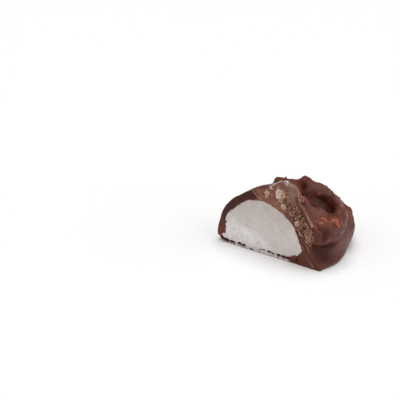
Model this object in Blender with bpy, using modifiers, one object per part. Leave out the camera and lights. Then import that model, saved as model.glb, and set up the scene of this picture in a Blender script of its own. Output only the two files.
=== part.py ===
"""A chocolate-coated marshmallow egg with one end cut away, resting on its flat base.

The egg is a low dome, nearly round from above. A marshmallow core sits in a smooth chocolate
shell, and a lumpy topping of chocolate and crisp crumbs lies over the top and one shoulder.
The cut is an upright flat face that shows all the layers, with the largest crisps as pieces.

Frame: the origin is the middle of the whole egg's flat base, +Z is up, and +Y points
away from the cut face, which lies in the plane y = CUT_Y. Lengths are in metres. The
places of the topping and its crisps are in millimetres from the middle of the cut's foot:
along the cut, behind it, and up.
"""

import math
from collections import namedtuple

import bmesh
import bpy
from mathutils import Matrix, Vector, noise

MM = 0.001

# The cut, and the middle of its foot
CUT_Y = -9.0 * MM
CUT_FOOT = Vector((-1.2 * MM, CUT_Y, 0.0))

# A dome: a flat base, a rounded foot out to the waist, and a rise from there to its top
Dome = namedtuple("Dome", "half_width half_length base waist top foot_round fullness segments")
SHELL = Dome(
    half_width=20.7 * MM,
    half_length=26.0 * MM,
    base=0.0,
    waist=3.4 * MM,
    top=24.4 * MM,
    foot_round=2.8 * MM,
    fullness=1.6,
    segments=72,
)
CORE = Dome(
    half_width=16.9 * MM,
    half_length=22.8 * MM,
    base=1.5 * MM,
    waist=5.5 * MM,
    top=20.1 * MM,
    foot_round=2.4 * MM,
    fullness=1.9,
    segments=56,
)

SHELL_MIDDLE = Vector((0.0, 0.0, 0.3 * SHELL.top))

# The egg is slanted along its length, and its top lies toward the cut
SLANT = 0.3
TOP_SHIFT = Vector((-3.5 * MM, -5.0 * MM, 0.0))
TOP_SHIFT_POWER = 1.3
UNEVENNESS = 0.35 * MM
UNEVENNESS_SIZE = 11 * MM

# Swells and hollows in a dome's side: the way they face, in degrees from +X, and their spread,
# the level of their middle, how far up and down they reach, and how far they stand out
Swell = namedtuple("Swell", "facing spread level reach amount")
SHELL_SWELLS = (
    Swell(facing=38, spread=56, level=12.5 * MM, reach=9.0 * MM, amount=2.0 * MM),
    Swell(facing=36, spread=50, level=1.5 * MM, reach=6.5 * MM, amount=-1.3 * MM),
    Swell(facing=-22, spread=50, level=15.0 * MM, reach=8.0 * MM, amount=-1.4 * MM),
    Swell(facing=-25, spread=62, level=0.0, reach=3.5 * MM, amount=5.1 * MM),
)
CORE_SWELLS = (
    Swell(facing=190, spread=80, level=1.5 * MM, reach=3.0 * MM, amount=3.6 * MM),
    Swell(facing=-20, spread=60, level=1.5 * MM, reach=4.0 * MM, amount=-4.5 * MM),
    Swell(facing=-20, spread=50, level=10.5 * MM, reach=8.0 * MM, amount=-1.0 * MM),
    Swell(facing=200, spread=70, level=16.0 * MM, reach=6.0 * MM, amount=-1.6 * MM),
)

# Between pieces that touch
GAP = 0.3 * MM

# The topping's skin, and the hollow in it, are remade from overlapping bodies
TOPPING_VOXEL = 1.05 * MM
HOLLOW_VOXEL = 0.85 * MM
TOPPING_SMOOTHING = 4

# Colours
SHELL_COLOUR = (0.118, 0.045, 0.034, 1.0)
TOPPING_COLOUR = (0.135, 0.052, 0.038, 1.0)
CORE_COLOUR = (0.62, 0.57, 0.55, 1.0)
CRISP_COLOUR = (0.42, 0.27, 0.14, 1.0)

# The topping's main masses: name, middle and radii
TOPPING_MASSES = (
    ("crown", (6.5, 2.0, 23.6), (6.0, 7.0, 6.1)),
    ("left slope", (1.0, 1.0, 20.4), (7.4, 5.6, 5.2)),
    ("shoulder", (10.2, 2.0, 19.4), (4.6, 7.0, 5.6)),
    ("cut side", (13.0, 1.5, 13.2), (5.3, 5.0, 5.6)),
    ("knob", (11.5, 4.2, 28.0), (2.8, 2.9, 4.0)),
    ("knob foot", (10.8, 3.6, 24.6), (3.2, 4.2, 3.8)),
    ("left nub", (1.3, 4.0, 26.6), (2.1, 2.0, 2.1)),
    ("hollow flank", (9.6, 8.0, 14.6), (8.2, 10.0, 8.6)),
    ("lobe", (18.0, 4.2, 12.4), (4.2, 4.8, 5.1)),
    ("lobe side", (20.0, 9.4, 12.2), (4.3, 5.0, 4.6)),
    ("lobe tail", (19.6, 14.2, 12.6), (3.4, 4.0, 4.0)),
    ("back crown", (4.0, 9.0, 18.6), (9.0, 9.0, 6.4)),
    ("back slope", (4.0, 19.0, 14.0), (9.0, 8.0, 6.2)),
    ("far shoulder", (13.2, 17.5, 13.4), (6.2, 7.4, 6.0)),
)

# Lumps that lie on the shell behind the cut, down to the topping's scalloped edge:
# the way they face, in degrees from +X, their level on the shell, and their radius
Lump = namedtuple("Lump", "facing level radius")
TOPPING_LUMPS = (
    Lump(66, 8.5 * MM, 3.6 * MM),
    Lump(73, 10.5 * MM, 4.8 * MM),
    Lump(84, 8.5 * MM, 4.4 * MM),
    Lump(101, 11.0 * MM, 4.8 * MM),
    Lump(119, 12.5 * MM, 4.2 * MM),
    Lump(137, 13.0 * MM, 4.4 * MM),
    Lump(153, 16.0 * MM, 3.8 * MM),
    Lump(68, 13.5 * MM, 5.4 * MM),
    Lump(88, 14.0 * MM, 5.6 * MM),
    Lump(110, 16.5 * MM, 5.8 * MM),
    Lump(136, 18.5 * MM, 5.2 * MM),
)
LUMP_STANDS_OUT = 1.9 * MM

# The folds: ropes of chocolate along a path, as middle and radius
TOPPING_FOLDS = (
    (
        ((11.2, 4.0, 28.0), 2.4),
        ((13.7, 7.5, 26.8), 2.4),
        ((15.5, 11.6, 24.0), 2.4),
        ((17.0, 15.0, 19.9), 2.0),
        ((18.6, 17.4, 16.4), 1.8),
        ((19.4, 19.4, 12.8), 1.7),
    ),
    (
        ((9.0, 5.0, 27.0), 2.2),
        ((6.5, 10.0, 24.6), 1.9),
        ((2.0, 14.0, 22.2), 1.8),
        ((-2.5, 19.0, 19.4), 1.8),
        ((-2.0, 24.0, 16.4), 1.7),
    ),
)
FOLD_BEADS = 24

# The hollow under the ridge, as middle and radius along its path
TOPPING_HOLLOW = (
    ((12.9, 1.6, 25.2), 1.0),
    ((13.3, 3.8, 23.6), 1.6),
    ((13.9, 7.0, 22.0), 1.9),
    ((14.9, 9.8, 20.3), 2.0),
    ((16.0, 12.0, 18.4), 1.9),
    ((17.6, 13.4, 16.9), 1.4),
)

# Crisps that the cut goes through: name, middle on the cut face and radii
CRISPS = (
    ("crisp_large", (4.5, 24.7), (1.8, 1.9, 2.7)),
    ("crisp_left", (-0.8, 23.3), (0.9, 1.2, 1.4)),
    ("crisp_inner", (5.9, 20.4), (1.1, 1.4, 0.9)),
    ("crisp_side", (11.5, 15.6), (0.9, 1.4, 1.0)),
    ("crisp_edge", (15.8, 11.0), (1.1, 1.4, 1.2)),
)
CRISP_ROUGHNESS = 0.22


def evaluated_mesh(obj):
    """A new mesh holding what obj's modifiers make of it."""
    graph = bpy.context.evaluated_depsgraph_get()
    return bpy.data.meshes.new_from_object(obj.evaluated_get(graph))


def bake(obj):
    """Swaps obj's mesh for what its modifiers make of it."""
    baked = evaluated_mesh(obj)
    obj.modifiers.clear()
    old = obj.data
    obj.data = baked
    bpy.data.meshes.remove(old)


def new_object(name, mesh, collection):
    obj = bpy.data.objects.new(name, mesh)
    collection.objects.link(obj)
    return obj


def remove(obj):
    bpy.data.objects.remove(obj)


def from_cut(place):
    """The point at a place given in millimetres from the middle of the cut's foot."""
    return CUT_FOOT + Vector(place) * MM


def dome_profile(dome, grow):
    """(radius, height) points of a dome, from its top down to the middle of its flat base."""
    rise_steps, foot_steps = 15, 4
    radius, top, base = dome.half_width + grow, dome.top + grow, dome.base - grow
    points = []
    for i in range(rise_steps + 1):
        angle = 0.5 * math.pi * i / rise_steps
        r = radius * math.sin(angle) ** (2 / dome.fullness)
        z = dome.waist + (top - dome.waist) * math.cos(angle) ** (2 / dome.fullness)
        points.append((r, z))
    for i in range(1, foot_steps + 1):
        angle = 0.5 * math.pi * i / foot_steps
        r = radius - dome.foot_round * (1 - math.cos(angle))
        z = base + (dome.waist - base) * (1 - math.sin(angle))
        points.append((r, z))
    points.append((0.0, base))
    return points


def turned(name, profile, segments, collection):
    """A closed solid turned round Z from a profile of (radius, height) points."""
    mesh = bpy.data.meshes.new(name)
    vertices = [(r, 0.0, z) for r, z in profile]
    mesh.from_pydata(vertices, [(i, i + 1) for i in range(len(vertices) - 1)], [])
    obj = new_object(name, mesh, collection)
    screw = obj.modifiers.new("turn", "SCREW")
    screw.steps = screw.render_steps = segments
    screw.use_merge_vertices = True
    screw.merge_threshold = 0.01 * MM
    bake(obj)
    return obj


def fade(share):
    """1 in the middle, falling smoothly to 0 at a share of 1 either way."""
    return 0.5 * (1 + math.cos(math.pi * min(1.0, abs(share))))


def stand_out(swells, angle, level):
    """How far a dome's side stands out at an angle and a level."""
    amount = 0.0
    for swell in swells:
        turn = (angle - swell.facing + 180) % 360 - 180
        amount += swell.amount * fade(turn / swell.spread) * fade((level - swell.level) / swell.reach)
    return amount


def in_egg(dome, swells, turned_point):
    """Where a point of a round turned dome lies once the dome has its lengthened, slanted egg shape."""
    x, y, z = turned_point
    lengthen = dome.half_length / dome.half_width
    factor = 1 + stand_out(swells, math.degrees(math.atan2(y, x)), z) / dome.half_width
    rise = max(0.0, min(1.0, (z - dome.base) / (dome.top - dome.base)))
    point = Vector(((x + SLANT * y * lengthen) * factor, y * lengthen * factor, z))
    point += TOP_SHIFT * rise**TOP_SHIFT_POWER
    uneven = noise.noise(point / UNEVENNESS_SIZE) * min(1.0, rise * 5)
    return point + UNEVENNESS * uneven * point.normalized()


def on_shell(facing, level):
    """The point on the shell's outside that faces an angle at a level above the waist."""
    rise = (level - SHELL.waist) / (SHELL.top - SHELL.waist)
    radius = SHELL.half_width * (1 - rise**SHELL.fullness) ** (1 / SHELL.fullness)
    angle = math.radians(facing)
    return in_egg(SHELL, SHELL_SWELLS, (radius * math.cos(angle), radius * math.sin(angle), level))


def egg_body(name, dome, swells, grow, collection):
    """The whole shell or core, grown all round by a distance."""
    obj = turned(name, dome_profile(dome, grow), dome.segments, collection)
    for vertex in obj.data.vertices:
        vertex.co = in_egg(dome, swells, vertex.co)
    obj.data.update()
    return obj


def ball(bm, centre, radii, subdivisions=3):
    """Adds a ball, stretched to three radii, to bm."""
    matrix = Matrix.Translation(centre) @ Matrix.Diagonal((*radii, 1.0))
    bmesh.ops.create_icosphere(bm, subdivisions=subdivisions, radius=1.0, matrix=matrix)


def along(stops, share):
    """The middle and radius at a share of the way along a fold, on a smooth curve through its stops."""
    spans = len(stops) - 1
    place = share * spans
    i = min(int(place), spans - 1)
    t = place - i
    before, after = stops[max(i - 1, 0)], stops[min(i + 2, spans)]
    a, b, c, d = (Vector((*middle, radius)) for middle, radius in (before, stops[i], stops[i + 1], after))
    value = b + 0.5 * t * ((c - a) + t * ((2 * a - 5 * b + 4 * c - d) + t * (3 * (b - c) + d - a)))
    return Vector(value[:3]), value[3]


def rope(bm, stops):
    """Adds a row of overlapping balls along a path to bm."""
    for i in range(FOLD_BEADS):
        middle, radius = along(stops, i / (FOLD_BEADS - 1))
        ball(bm, from_cut(middle), (radius * MM,) * 3, subdivisions=2)


def melt(obj, voxel, smoothing):
    """Makes one soft skin of obj's overlapping bodies."""
    skin = obj.modifiers.new("melt", "REMESH")
    skin.mode = "VOXEL"
    skin.voxel_size = voxel
    soften = obj.modifiers.new("soften", "SMOOTH")
    soften.factor = 0.5
    soften.iterations = smoothing
    bake(obj)


def hollow_body(name, collection):
    """What the hollow under the ridge takes away."""
    bm = bmesh.new()
    rope(bm, TOPPING_HOLLOW)
    mesh = bpy.data.meshes.new(name)
    bm.to_mesh(mesh)
    bm.free()
    obj = new_object(name, mesh, collection)
    melt(obj, HOLLOW_VOXEL, TOPPING_SMOOTHING)
    return obj


def topping_body(name, collection):
    """The topping's masses and folds in one skin, hollowed under the ridge, before anything else is cut."""
    bm = bmesh.new()
    for _, middle, radii in TOPPING_MASSES:
        ball(bm, from_cut(middle), Vector(radii) * MM)
    for lump in TOPPING_LUMPS:
        surface = on_shell(lump.facing, lump.level)
        inward = (SHELL_MIDDLE - surface).normalized()
        ball(bm, surface + inward * (lump.radius - LUMP_STANDS_OUT), (lump.radius,) * 3)
    for stops in TOPPING_FOLDS:
        rope(bm, stops)
    mesh = bpy.data.meshes.new(name)
    bm.to_mesh(mesh)
    bm.free()
    obj = new_object(name, mesh, collection)
    melt(obj, TOPPING_VOXEL, TOPPING_SMOOTHING)
    cut(obj, hollow_body("hollow", collection))
    return obj


def cut(obj, cutter):
    """Cuts cutter out of obj, and removes cutter."""
    boolean = obj.modifiers.new("cut", "BOOLEAN")
    boolean.operation = "DIFFERENCE"
    boolean.object = cutter
    boolean.solver = "EXACT"
    bake(obj)
    remove(cutter)


def front_block(collection):
    """What the knife takes away: everything in front of the cut face."""
    side = 120 * MM
    bm = bmesh.new()
    middle = Matrix.Translation((0.0, CUT_Y - 0.5 * side, 0.0))
    bmesh.ops.create_cube(bm, size=side, matrix=middle)
    mesh = bpy.data.meshes.new("front_block")
    bm.to_mesh(mesh)
    bm.free()
    return new_object("front_block", mesh, collection)


def keep_largest(obj):
    """Drops every loose scrap of obj's mesh but the largest body."""
    bm = bmesh.new()
    bm.from_mesh(obj.data)
    unseen = set(bm.faces)
    bodies = []
    while unseen:
        body, border = set(), [unseen.pop()]
        while border:
            face = border.pop()
            body.add(face)
            near = {f for e in face.edges if len(e.link_faces) == 2 for f in e.link_faces} & unseen
            unseen -= near
            border.extend(near)
        bodies.append(body)
    largest = max(bodies, key=len)
    scraps = [face for body in bodies if body is not largest for face in body]
    bmesh.ops.delete(bm, geom=scraps, context="FACES")
    bm.to_mesh(obj.data)
    bm.free()


def crisp_body(name, place, radii, grow, collection):
    """One crisp: a rough pebble with its middle just behind the cut face, grown by a distance."""
    bm = bmesh.new()
    ball(bm, Vector(), (1.0, 1.0, 1.0), subdivisions=2)
    x, z = place
    centre = from_cut((x, 0.35 * radii[1], z))
    size = Vector(radii) * MM + Vector((grow, grow, grow))
    for vertex in bm.verts:
        swell = 1 + CRISP_ROUGHNESS * noise.noise(vertex.co * 1.7 + Vector((x, z, 0.0)))
        vertex.co = Vector(a * b for a, b in zip(vertex.co, size)) * swell + centre
    mesh = bpy.data.meshes.new(name)
    bm.to_mesh(mesh)
    bm.free()
    return new_object(name, mesh, collection)


def cut_crisp_rooms(obj, cutters):
    """Makes room in obj for each crisp that reaches it."""
    for name, place, radii in CRISPS:
        cut(obj, crisp_body(name + "_room", place, radii, GAP, cutters))


def paint(obj, colour, roughness):
    """Gives obj its own plain material, and smooth shading with crisp edges at the cut."""
    material = bpy.data.materials.new(obj.name)
    material.use_nodes = True
    shader = material.node_tree.nodes["Principled BSDF"]
    shader.inputs["Base Color"].default_value = colour
    shader.inputs["Roughness"].default_value = roughness
    shader.inputs["Metallic"].default_value = 0.0
    material.diffuse_color = colour
    obj.data.materials.clear()
    obj.data.materials.append(material)
    obj.data.shade_smooth()
    obj.data.set_sharp_from_angle(angle=math.radians(40))


def marshmallow(parts, cutters):
    obj = egg_body("marshmallow", CORE, CORE_SWELLS, 0.0, parts)
    cut(obj, front_block(cutters))
    paint(obj, CORE_COLOUR, 0.9)


def shell(parts, cutters):
    obj = egg_body("shell", SHELL, SHELL_SWELLS, 0.0, parts)
    cut(obj, egg_body("core_room", CORE, CORE_SWELLS, GAP, cutters))
    cut(obj, front_block(cutters))
    cut_crisp_rooms(obj, cutters)
    keep_largest(obj)
    paint(obj, SHELL_COLOUR, 0.38)


def topping(parts, cutters):
    obj = topping_body("topping", parts)
    cut(obj, egg_body("shell_room", SHELL, SHELL_SWELLS, GAP, cutters))
    cut(obj, front_block(cutters))
    cut_crisp_rooms(obj, cutters)
    keep_largest(obj)
    paint(obj, TOPPING_COLOUR, 0.42)


def crisps(parts, cutters):
    for name, place, radii in CRISPS:
        obj = crisp_body(name, place, radii, 0.0, parts)
        cut(obj, front_block(cutters))
        paint(obj, CRISP_COLOUR, 0.85)


def main():
    for obj in list(bpy.data.objects):
        remove(obj)
    parts = bpy.data.collections.new("cut_marshmallow_egg")
    cutters = bpy.data.collections.new("cutters")
    for collection in (parts, cutters):
        bpy.context.scene.collection.children.link(collection)
    marshmallow(parts, cutters)
    shell(parts, cutters)
    topping(parts, cutters)
    crisps(parts, cutters)


main()
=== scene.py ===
"""The looks of a cut chocolate marshmallow egg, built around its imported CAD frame.

The chocolate coat is one fused skin over the shell and the topping. Coat and marshmallow are
both cut by a knife whose face carries the cut's relief: the rough crunch zone, the knife's
streaks, the pits along the foot. Crisps, crumbs, flakes and smears then go where they lie.

Lengths are in metres. Places on the cut are in millimetres from the middle of its foot:
u along the cut and v behind it, with z for the height.
"""
import math
import random

import bmesh
import bpy
from mathutils import Matrix, Vector, noise
from mathutils.bvhtree import BVHTree


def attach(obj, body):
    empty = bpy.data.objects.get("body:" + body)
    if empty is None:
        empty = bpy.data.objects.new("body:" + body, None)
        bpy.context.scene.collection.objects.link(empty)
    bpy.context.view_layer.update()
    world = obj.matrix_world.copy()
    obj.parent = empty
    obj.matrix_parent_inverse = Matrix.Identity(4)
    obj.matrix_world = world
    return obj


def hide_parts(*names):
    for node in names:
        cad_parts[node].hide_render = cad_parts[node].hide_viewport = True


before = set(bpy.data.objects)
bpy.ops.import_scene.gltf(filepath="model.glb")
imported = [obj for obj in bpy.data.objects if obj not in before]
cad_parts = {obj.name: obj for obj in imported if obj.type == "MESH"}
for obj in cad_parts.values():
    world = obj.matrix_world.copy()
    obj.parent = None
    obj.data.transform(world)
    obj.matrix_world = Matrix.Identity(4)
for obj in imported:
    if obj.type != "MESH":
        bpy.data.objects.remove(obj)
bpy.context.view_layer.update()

MM = 0.001
CUT_FOOT = Vector((-1.2 * MM, -9.0 * MM, 0.0))

# The photograph's view: its angles in degrees, its scale, and where the middle of the cut's foot is
VIEW_AZIMUTH = 35.2
VIEW_ELEVATION = 24.6
PICTURE_SIZE = 400
PIXELS_PER_MM = 2.84
CUT_FOOT_PIXEL = (267.0, 255.0)
LENS = 85.0
SENSOR = 36.0

# Soft lights: name, strength, width in degrees and the way that each comes from
SOFT_LIGHTS = (
    ("soft_top_light", 2.2, 50, (0.0, 0.1, 1.0)),
    ("soft_right_light", 1.0, 60, (1.0, 0.25, 0.5)),
    ("soft_front_light", 0.5, 60, (-0.6, -1.0, 0.6)),
)
ROOM_LIGHT = 0.22
ROOM_COLOUR = (1.0, 0.985, 0.98, 1.0)
FLOOR_HALF = 1.2

CRISP_NODES = ("crisp_large", "crisp_left", "crisp_inner", "crisp_side", "crisp_edge")

# How near a neighbour counts as across a gap, and how far each skin grows over that gap
GAP_REACH = 0.6 * MM
COAT_GROWS = 0.25 * MM
POCKET_GROWS = 0.45 * MM
CORE_GROWS = 0.4 * MM

CORE_FLOOR = 1.4 * MM

COAT_VOXEL = 0.32 * MM
CRISP_VOXEL = 0.18 * MM
LIP_VOXEL = 0.09 * MM
KNIFE_CELL = 0.2 * MM
KNIFE_DEPTH = 8 * MM
OVERLAP_FRONT = 1.6 * MM
RAGGED_REACH = 0.7 * MM
MERGE_DISTANCE = 0.002 * MM
ON_FACE = 0.05 * MM

# How softly shell and topping give way to each other
SWELL_BLEND = 1.6 * MM
COLOUR_BLEND = 1.2 * MM

# Millimetres behind the cut where its colours fade out
CUT_COLOUR_DEPTH = 0.35
CUT_COLOUR_FADE = 0.4

# Zones of the cut face, as paths of (u, z, half width) in millimetres
CRUNCH_PATH = (
    (-1.6, 23.4, 1.7),
    (1.0, 24.3, 2.4),
    (4.5, 25.0, 3.4),
    (7.0, 22.5, 2.8),
    (9.5, 20.0, 2.6),
    (12.0, 17.0, 2.8),
    (14.2, 14.2, 2.7),
    (15.8, 11.0, 1.9),
)
FACET_PATH = ((9.2, 31.0, 2.2), (9.6, 27.5, 2.3), (9.3, 24.4, 1.4))
FACET_EDGE_PATHS = (
    ((11.2, 30.8, 0.15), (11.7, 28.6, 0.22), (11.5, 26.2, 0.2)),
    ((8.0, 30.4, 0.12), (8.5, 28.4, 0.16)),
)
SMOOTH_FLANK_PATH = ((11.2, 24.2, 0.9), (12.8, 21.2, 1.2), (14.6, 18.4, 1.3), (16.4, 15.6, 0.8))
DARK_BAND_PATH = (
    (-17.7, 9.5, 0.6),
    (-17.3, 12.0, 0.8),
    (-16.0, 14.6, 1.0),
    (-13.5, 17.5, 1.1),
    (-10.5, 20.0, 1.1),
    (-7.1, 21.4, 1.1),
    (-5.2, 21.6, 0.7),
)
BAND_EDGE_PATH = ((-6.4, 22.7, 0.16), (-4.6, 21.2, 0.2), (-2.9, 20.7, 0.14))
LIP_PATH = ((12.6, 22.8, 0.1), (14.0, 21.3, 0.18), (15.4, 19.1, 0.2), (17.1, 16.0, 0.15))
GRANULAR_PATH = ((-18.3, 2.6, 2.0), (-13.6, 4.6, 3.4), (-8.0, 3.6, 2.8), (-2.0, 2.8, 1.6))
CRACK_PATH = ((11.8, 3.7, 0.3), (12.0, 2.6, 0.35), (11.9, 1.2, 0.3))
CHIP_PATH = ((9.6, 2.3, 0.1), (11.0, 2.9, 0.45), (12.0, 3.9, 0.3))
KNIFE_STREAKS = (
    ((14.9, 9.0, 0.08), (15.7, 7.9, 0.14), (16.9, 5.9, 0.08)),
    ((15.9, 3.4, 0.08), (17.1, 2.1, 0.16), (18.4, 0.9, 0.2)),
    ((13.9, 7.3, 0.1), (14.5, 5.7, 0.08)),
)

# Where other zones of the cut end, in millimetres
FOOT_STRIP_TOP = 1.7
FOOT_STRIP_RIGHT = 9.5
ROUGH_TOP = 23.0
RED_RIGHT, RED_TOP = -3.0, 9.0
TOPPING_LEFT, TOPPING_LOW = -6.0, 15.0

# Holes in the foot strip, their chocolate darkened with painted shade: u, z and half sizes in
# millimetres
STRIP_HOLES = (
    (-19.6, 1.6, 1.6, 1.1),
    (-17.2, 1.0, 1.4, 0.7),
    (-14.9, 0.9, 1.5, 0.5),
    (-11.6, 1.1, 1.0, 0.45),
    (-9.9, 0.9, 1.0, 0.45),
    (-6.4, 0.5, 0.6, 0.2),
    (-2.3, 1.7, 1.1, 0.4),
    (0.8, 1.5, 0.8, 0.4),
    (2.3, 1.2, 0.7, 0.35),
    (4.6, 1.2, 0.9, 0.55),
    (6.6, 1.2, 1.0, 0.6),
    (8.6, 1.3, 1.4, 0.6),
)

# Swells, above 0, and creases, below 0, on the outside: name, millimetres, and a path of
# (u, v, z, reach) in millimetres
OUTER_MARKS = (
    ("knob dimple", -1.5, ((11.8, 1.3, 29.4, 1.5), (12.6, 1.5, 28.7, 1.5))),
    ("knob brow", 0.45, ((10.6, 2.0, 31.0, 1.3), (12.6, 2.6, 30.8, 1.3))),
    ("knob chin", 0.5, ((12.3, 1.2, 27.0, 1.2), (13.6, 2.6, 27.3, 1.2))),
    ("lobe belly", 0.55, ((18.6, 0.8, 12.9, 2.4), (21.4, 3.6, 11.9, 2.6), (22.9, 8.2, 11.4, 2.4))),
    ("lobe waist", -0.35, ((20.6, 2.6, 15.2, 0.9), (21.8, 5.0, 13.3, 1.1), (21.9, 5.2, 10.4, 0.9))),
    (
        "under the lobe",
        -1.3,
        ((15.6, 0.8, 10.6, 0.9), (17.6, 1.2, 9.9, 1.1), (18.9, 3.2, 8.1, 1.1), (20.4, 6.0, 7.0, 1.0),
         (21.8, 10.0, 6.8, 1.0), (22.8, 13.4, 8.6, 1.0)),
    ),
    ("right fold", -0.25, ((20.2, 16.0, 17.6, 0.9), (22.7, 13.9, 13.6, 0.9), (22.2, 15.2, 8.8, 1.0))),
    ("shelf back", 0.8, ((12.4, 5.4, 22.4, 1.7), (13.2, 9.4, 20.4, 1.7), (14.6, 12.3, 18.2, 1.6))),
    ("ridge bump", 0.5, ((14.8, 6.5, 25.6, 1.1), (15.2, 7.0, 25.2, 1.1))),
    ("ridge end bump", 0.5, ((18.1, 13.0, 21.0, 1.4), (18.7, 13.8, 20.2, 1.4))),
    ("left shoulder", 0.45, ((-17.6, 0.0, 12.0, 4.0), (-14.6, 0.0, 17.8, 4.0))),
    ("right notch", 0.8, ((18.3, 26.2, 10.6, 2.6), (20.4, 23.6, 10.2, 2.8), (21.3, 22.2, 9.0, 2.4))),
    ("right lump", -0.45, ((15.8, 29.0, 12.0, 2.0), (16.8, 28.6, 10.4, 2.0))),
    ("nub top", 0.7, ((0.9, 3.8, 28.2, 1.9), (3.6, 4.0, 29.2, 1.9))),
)

# Painted shade and painted light on the outside. Colour factors below 1 are painted shade on the knob,
# along and under the ridge, on and under the lobe, along the right fold and in the crease; factors
# above 1 are painted light and sheen on the shelf, the ridge top, the lobe's top and side and the right
# side.
# Each entry: name, colour factor, gloss, and a path of (u, v, z, reach) in millimetres
OUTER_PAINTED_LIGHT = (
    ("knob", (0.74, 0.56, 0.54), 0.25, ((11.8, 3.4, 26.4, 4.4), (11.8, 3.4, 30.0, 4.4))),
    ("ridge low edge", (0.80, 0.66, 0.64), 0.3, ((14.0, 5.0, 26.4, 2.2), (16.4, 9.4, 24.6, 2.2))),
    ("ridge end", (0.66, 0.48, 0.46), 0.25, ((17.4, 11.4, 22.8, 3.2), (18.4, 14.0, 19.8, 3.4))),
    ("lobe face", (0.58, 0.38, 0.36), 0.08, ((18.0, 0.6, 13.4, 4.2), (20.8, 2.2, 13.0, 4.0))),
    ("lobe foot", (0.60, 0.46, 0.44), 0.2, ((18.6, 3.0, 7.6, 2.6), (21.2, 8.4, 6.4, 2.4))),
    ("below the lobe", (0.52, 0.40, 0.38), 0.12, ((17.4, 1.0, 6.6, 5.0), (20.2, 4.6, 4.0, 5.5))),
    ("shelf", (1.28, 1.50, 1.62), 0.75, ((14.6, 4.2, 20.4, 3.0), (18.8, 9.6, 16.6, 4.0))),
    ("under ridge start", (0.55, 0.46, 0.44), 0.05, ((12.4, 1.3, 27.4, 1.6), (14.1, 3.8, 26.0, 1.8))),
    ("under ridge end", (0.55, 0.46, 0.44), 0.05, ((14.6, 7.6, 23.8, 1.6), (16.3, 10.8, 21.8, 1.6))),
    (
        "shelf back",
        (1.4, 1.55, 1.6),
        0.6,
        ((13.6, 8.4, 20.9, 1.6), (14.2, 10.4, 19.7, 1.6), (15.2, 12.6, 18.0, 1.5)),
    ),
    ("lobe top", (1.15, 1.2, 1.2), 0.5, ((18.6, 2.8, 17.0, 1.7), (20.4, 3.3, 16.2, 1.7))),
    ("lobe low", (0.82, 0.74, 0.72), 0.15, ((21.4, 3.1, 13.6, 3.2), (18.4, 0.4, 12.0, 3.0))),
    (
        "fold edge",
        (0.80, 0.70, 0.68),
        0.1,
        ((20.6, 17.0, 16.0, 1.8), (22.8, 14.4, 13.2, 1.8), (24.0, 10.5, 12.4, 1.8)),
    ),
    ("right sheen", (1.25, 1.5, 1.6), 0.9, ((18.6, 24.8, 11.5, 2.3), (20.4, 22.1, 10.7, 2.3))),
    ("crease", (0.35, 0.28, 0.26), 0.05, ((15.8, 0.6, 10.8, 1.5), (18.4, 2.0, 9.0, 1.4))),
    ("ridge top", (1.12, 1.10, 1.10), 0.6, ((13.5, 5.5, 28.6, 3.0), (16.6, 10.6, 26.0, 3.0))),
    ("lobe side", (1.1, 1.3, 1.35), 0.7, ((23.0, 6.0, 13.4, 2.6), (23.6, 9.4, 11.4, 2.6))),
    ("right side", (1.0, 1.0, 1.0), 0.85, ((24.0, 17.0, 13.0, 6.0), (23.0, 16.0, 6.0, 6.0))),
)

# Colours, linear
CHOCOLATE = (0.112, 0.030, 0.018)
TOPPING_CHOCOLATE = (0.118, 0.031, 0.018)
CUT_CHOCOLATE = (0.116, 0.036, 0.024)
TOPPING_CUT = (0.25, 0.103, 0.074)
DARK_CUT = (0.055, 0.016, 0.010)
RED_CUT = (0.172, 0.043, 0.030)
CRUNCH_LIGHT = (0.43, 0.22, 0.15)
CRUNCH_DARK = (0.075, 0.024, 0.016)
# Painted sheen: the facet's lighter grey stands in for the light that it catches
FACET_SHEEN = (0.25, 0.145, 0.112)
FACET_EDGE = (0.38, 0.22, 0.17)
LIP_PINK = (0.40, 0.19, 0.14)
CHIP_RED = (0.19, 0.052, 0.034)
# Near-black painted shade inside the crack
CRACK_SHADE = (0.012, 0.004, 0.003)
# Chocolate in the foot strip's holes, darkened with painted shade
STRIP_HOLE_SHADE = (0.045, 0.012, 0.008)
MARSHMALLOW = (0.72, 0.655, 0.63)
MARSHMALLOW_WHITE = (0.88, 0.85, 0.85)
SMEAR_WHITE = (0.70, 0.64, 0.64)
SMEAR_LILAC = (0.40, 0.33, 0.345)
SCRATCH_TAN = (0.62, 0.47, 0.32)
CRISP_TAN = (0.56, 0.345, 0.205)
CRISP_YELLOW = (0.60, 0.38, 0.19)
CRISP_CREAM = (0.72, 0.57, 0.45)
CRISP_WHITE = (0.68, 0.57, 0.50)
CRISP_BROWN = (0.20, 0.062, 0.034)
CRUMB_GOLD = (0.45, 0.165, 0.085)
CRUMB_ORANGE = (0.35, 0.115, 0.06)
CRUMB_RED = (0.21, 0.044, 0.022)
CRUMB_PINK = (0.46, 0.235, 0.17)
FLAKE_RED = (0.22, 0.058, 0.036)
FLAKE_LIGHT = (0.52, 0.29, 0.23)


def on_cut(u, v, z):
    """The point at a place given in millimetres from the middle of the cut's foot."""
    return CUT_FOOT + Vector((u, v, z)) * MM


def to_cut(point):
    """(u, v, z) in millimetres from the middle of the cut's foot."""
    return (point - CUT_FOOT) / MM


def mix(a, b, share):
    """Two rows of numbers, mixed: a at 0 and b at 1."""
    return tuple(x + (y - x) * share for x, y in zip(a, b))


def smooth(share):
    """0 below 0, 1 above 1, and a soft rise between."""
    share = max(0.0, min(1.0, share))
    return share * share * (3 - 2 * share)


def path_share(path, u, z, edge=0.5):
    """1 inside a path of (u, z, half width), falling to 0 over edge millimetres outside it."""
    return smooth(1 - path_distance(path, u, z) / edge)


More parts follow.
